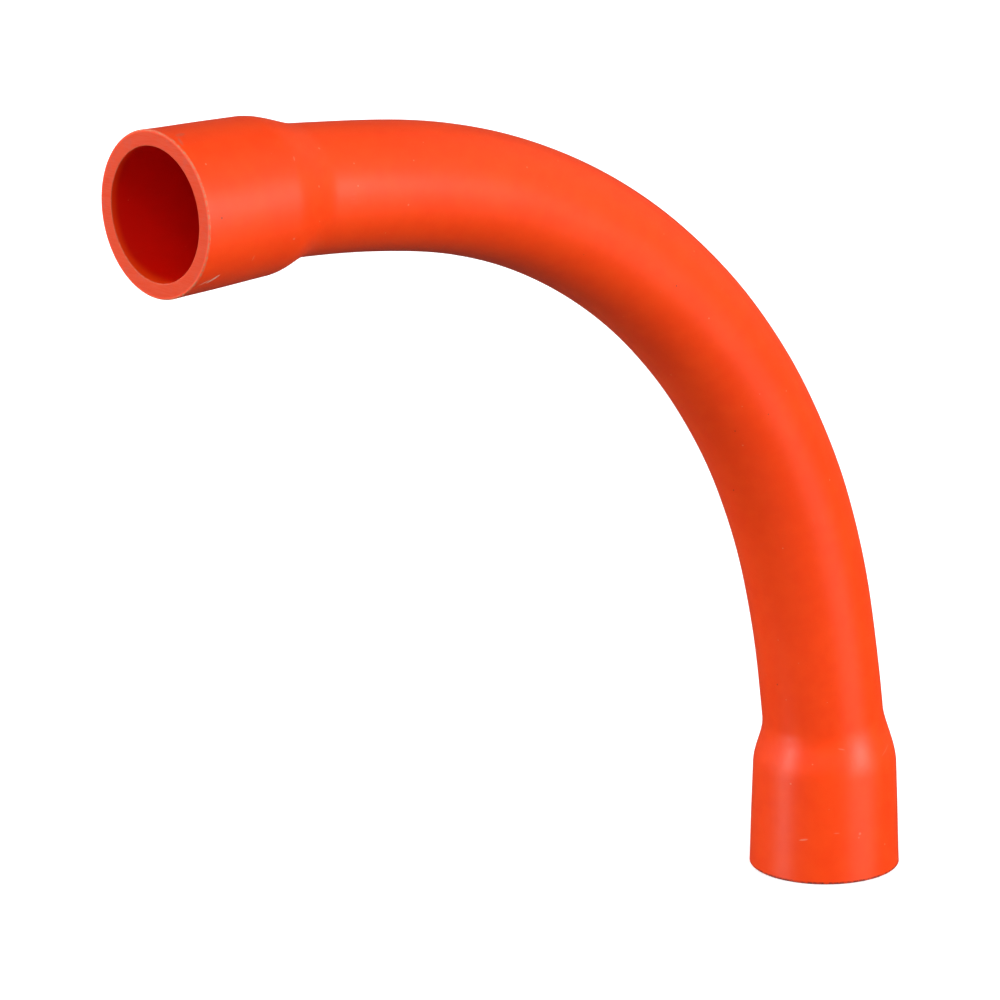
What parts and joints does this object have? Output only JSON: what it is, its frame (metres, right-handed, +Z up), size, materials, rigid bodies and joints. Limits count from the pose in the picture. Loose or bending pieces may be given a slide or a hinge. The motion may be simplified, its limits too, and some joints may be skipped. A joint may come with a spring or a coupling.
{
  "type": "pvc conduit elbow",
  "caption": "Rigid PVC conduit elbow: a right-angle sweep bend with a belled push-in socket on each end.",
  "frame": {"origin": "centre of the lower socket's mouth, in the plane of its sawn end", "axes": "+Z runs up the lower socket's axis; the bend lies in the XZ plane and turns towards -X, so the upper socket's mouth faces -X; Y is across the bend"},
  "size_m": [0.1885, 0.031, 0.1801],
  "materials": {
    "orange_pvc": "satin, slightly scuffed, with matte sawn ends"
  },
  "bodies": {
    "root": {"sweep_bend": "orange_pvc"}
  },
  "joints": []
}
